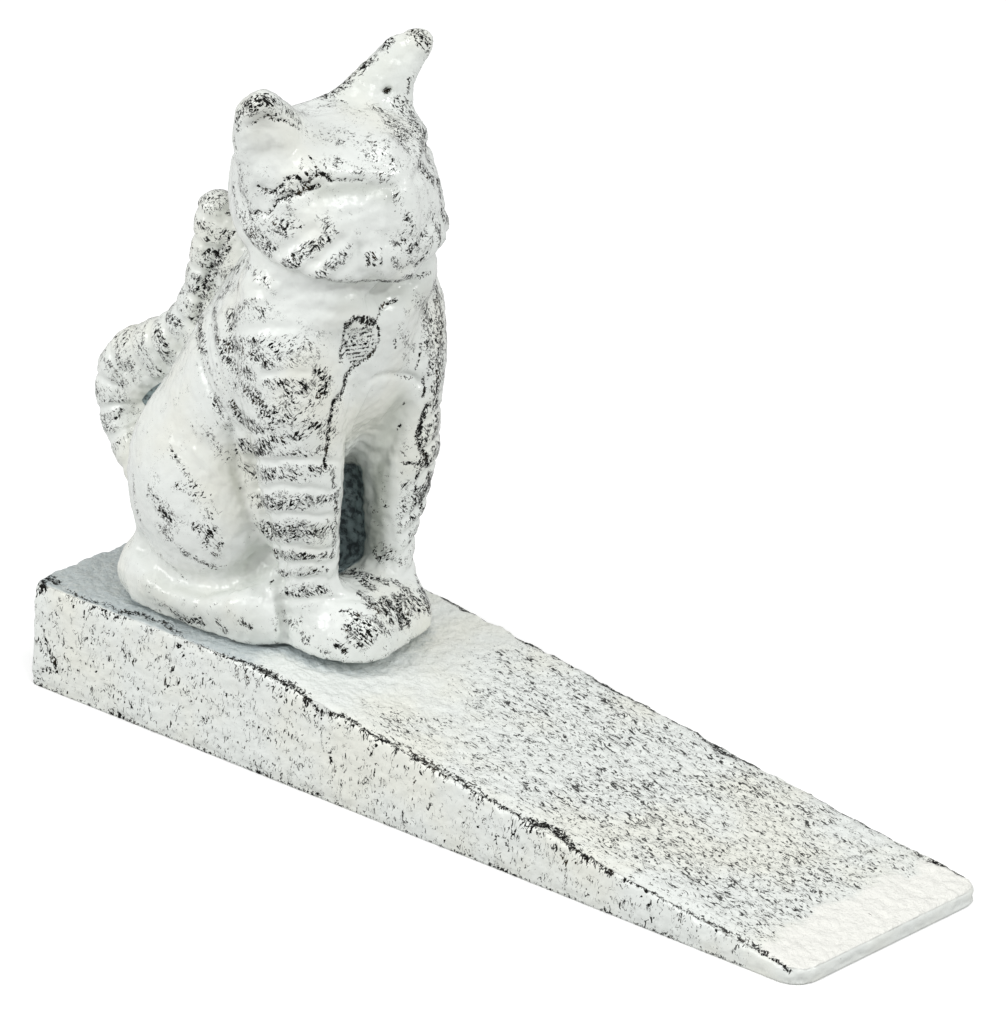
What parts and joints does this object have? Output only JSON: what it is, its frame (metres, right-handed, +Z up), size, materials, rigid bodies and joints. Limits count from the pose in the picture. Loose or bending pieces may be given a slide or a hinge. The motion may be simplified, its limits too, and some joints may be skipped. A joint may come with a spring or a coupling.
{
  "type": "doorstop",
  "caption": "Cast iron wedge doorstop with a sitting cat casting screwed on from below, in distressed white paint",
  "frame": {"origin": "on the floor, below the middle of the whole doorstop", "axes": "+X along the wedge towards its thin end, the way the cat faces; +Y to the cat's left; +Z up"},
  "size_m": [0.1738, 0.045, 0.1179],
  "materials": {
    "wedge_paint": "semi-gloss off-white paint over cast iron, rubbed through in black and brown flecks",
    "cat_paint": "semi-gloss off-white paint over cast iron, rubbed through along its ridges and stripes",
    "screw_steel": "zinc plated, dull",
    "washer_steel": "zinc plated, dull"
  },
  "bodies": {
    "root": {"wedge": "wedge_paint", "cat": "cat_paint", "screw_rear": "screw_steel", "screw_front": "screw_steel", "washer_rear": "washer_steel", "washer_front": "washer_steel"}
  },
  "joints": []
}
